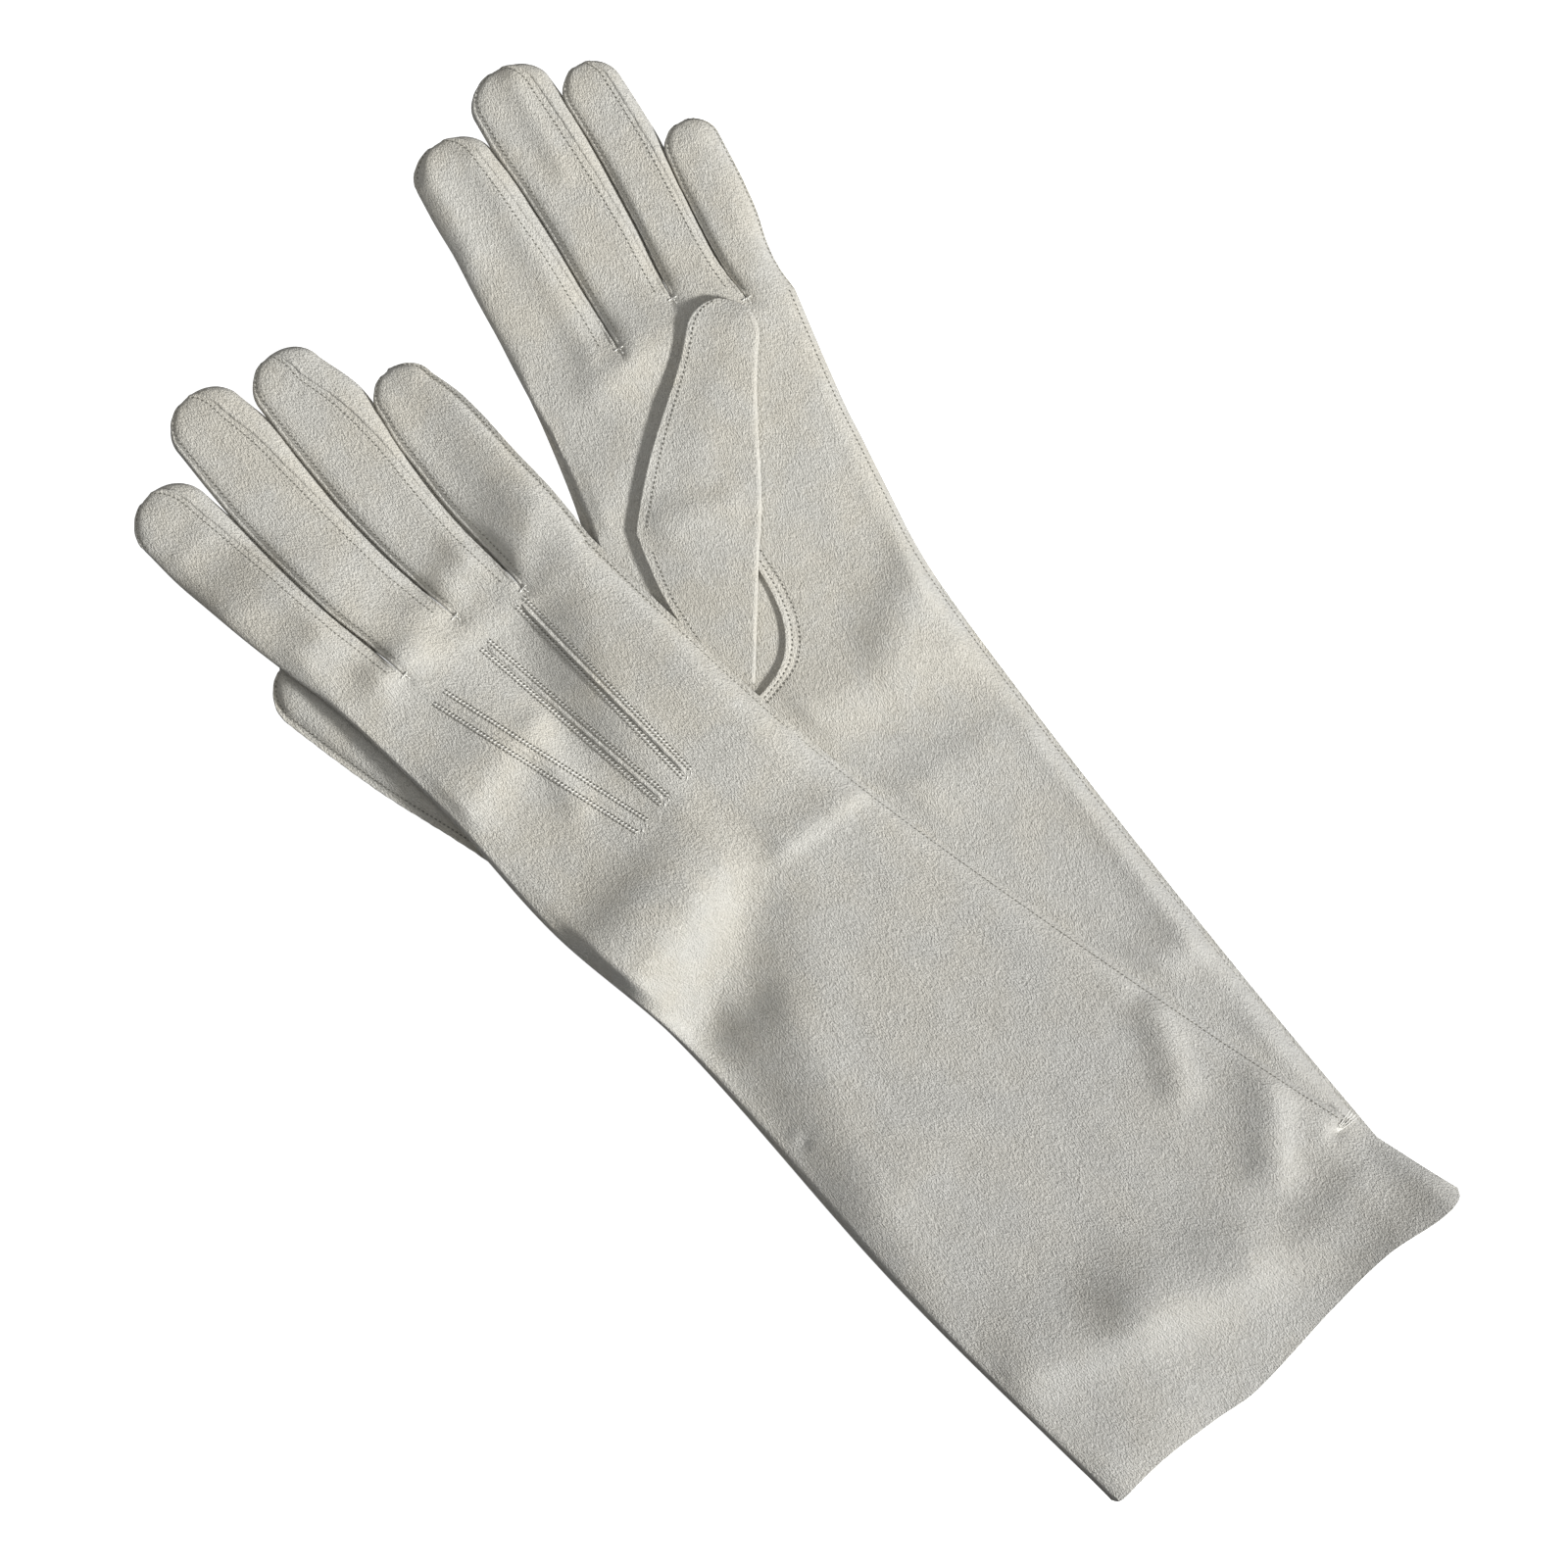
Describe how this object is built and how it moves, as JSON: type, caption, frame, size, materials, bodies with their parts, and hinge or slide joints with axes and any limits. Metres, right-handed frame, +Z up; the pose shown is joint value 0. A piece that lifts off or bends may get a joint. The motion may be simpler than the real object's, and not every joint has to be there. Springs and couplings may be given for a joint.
{
  "type": "opera gloves",
  "caption": "Pair of long opera gloves lying flat, left palm up, right back up across it, with fourchettes, folded thumbs and three tucks on each back.",
  "frame": {"origin": "under the middle of the pair's bounding box, on the surface that it lies on", "axes": "+Z up from that surface; the fingers point towards -X +Y, the left glove's at 120 degrees and the right glove's at 139.8 degrees from +X; +Y is the longer side of the pair"},
  "size_m": [0.3492, 0.3792, 0.0148],
  "materials": {
    "duplex_fabric": "matt off-white suede-faced doubled cotton knit",
    "sewing_thread": "matt off-white cotton thread"
  },
  "bodies": {
    "left_hand": {"left_trank": "duplex_fabric", "left_side_seam": "sewing_thread", "left_point_1": "duplex_fabric", "left_point_2": "duplex_fabric", "left_point_3": "duplex_fabric", "left_thumb_root": "duplex_fabric"},
    "right_hand": {"right_trank": "duplex_fabric", "right_side_seam": "sewing_thread", "right_point_1": "duplex_fabric", "right_point_2": "duplex_fabric", "right_point_3": "duplex_fabric", "right_thumb_root": "duplex_fabric"},
    "left_index": {"left_index_tab": "duplex_fabric", "left_index_fourchette_middle_side": "duplex_fabric"},
    "left_middle": {"left_middle_back": "duplex_fabric", "left_middle_palm": "duplex_fabric", "left_middle_fourchette_index_side": "duplex_fabric", "left_middle_fourchette_ring_side": "duplex_fabric"},
    "left_ring": {"left_ring_back": "duplex_fabric", "left_ring_palm": "duplex_fabric", "left_ring_fourchette_middle_side": "duplex_fabric", "left_ring_fourchette_little_side": "duplex_fabric"},
    "left_little": {"left_little_back": "duplex_fabric", "left_little_palm": "duplex_fabric", "left_little_fourchette_ring_side": "duplex_fabric"},
    "right_index": {"right_index_tab": "duplex_fabric", "right_index_fourchette_middle_side": "duplex_fabric"},
    "right_middle": {"right_middle_back": "duplex_fabric", "right_middle_palm": "duplex_fabric", "right_middle_fourchette_index_side": "duplex_fabric", "right_middle_fourchette_ring_side": "duplex_fabric"},
    "right_ring": {"right_ring_back": "duplex_fabric", "right_ring_palm": "duplex_fabric", "right_ring_fourchette_middle_side": "duplex_fabric", "right_ring_fourchette_little_side": "duplex_fabric"},
    "right_little": {"right_little_back": "duplex_fabric", "right_little_palm": "duplex_fabric", "right_little_fourchette_ring_side": "duplex_fabric"},
    "left_thumb": {"left_thumb": "duplex_fabric"},
    "right_thumb": {"right_thumb": "duplex_fabric"}
  },
  "joints": [
    {"name": "right_glove_lift", "type": "slide", "parent": "left_hand", "child": "right_hand", "axis": [0, 0, 1], "range_m": [0, 0.12]},
    {"name": "left_index_bend", "type": "hinge", "parent": "left_hand", "child": "left_index", "pos_m": [-0.06068, 0.10634, 0.00775], "axis": [0.8591, 0.5119, 0], "range_deg": [0, 80]},
    {"name": "left_middle_bend", "type": "hinge", "parent": "left_hand", "child": "left_middle", "pos_m": [-0.04038, 0.11871, 0.00774], "axis": [0.8695, 0.4939, 0], "range_deg": [0, 80]},
    {"name": "left_ring_bend", "type": "hinge", "parent": "left_hand", "child": "left_ring", "pos_m": [-0.02197, 0.12372, 0.00775], "axis": [0.8753, 0.4836, 0], "range_deg": [0, 80]},
    {"name": "left_little_bend", "type": "hinge", "parent": "left_hand", "child": "left_little", "pos_m": [-0.00659, 0.1276, 0.00747], "axis": [0.8797, 0.4755, 0], "range_deg": [0, 80]},
    {"name": "right_index_bend", "type": "hinge", "parent": "right_hand", "child": "right_index", "pos_m": [-0.11065, 0.02119, 0.01102], "axis": [0.6523, 0.758, 0], "range_deg": [0, 80]},
    {"name": "right_middle_bend", "type": "hinge", "parent": "right_hand", "child": "right_middle", "pos_m": [-0.09743, 0.0354, 0.01101], "axis": [0.7084, 0.7058, 0], "range_deg": [0, 80]},
    {"name": "right_ring_bend", "type": "hinge", "parent": "right_hand", "child": "right_ring", "pos_m": [-0.08037, 0.04502, 0.00965], "axis": [0.7455, 0.6665, 0], "range_deg": [0, 80]},
    {"name": "right_little_bend", "type": "hinge", "parent": "right_hand", "child": "right_little", "pos_m": [-0.06402, 0.05728, 0.01365], "axis": [0.7574, 0.6529, 0], "range_deg": [0, 80]},
    {"name": "left_thumb_unfold", "type": "hinge", "parent": "left_hand", "child": "left_thumb", "pos_m": [-0.02668, 0.06286, 0.01345], "axis": [0.9926, -0.1214, 0], "range_deg": [0, 85]},
    {"name": "right_thumb_swing", "type": "hinge", "parent": "right_hand", "child": "right_thumb", "pos_m": [-0.07282, -0.01412, 0.0023], "axis": [0, 0, 1], "range_deg": [0, 40]}
  ]
}
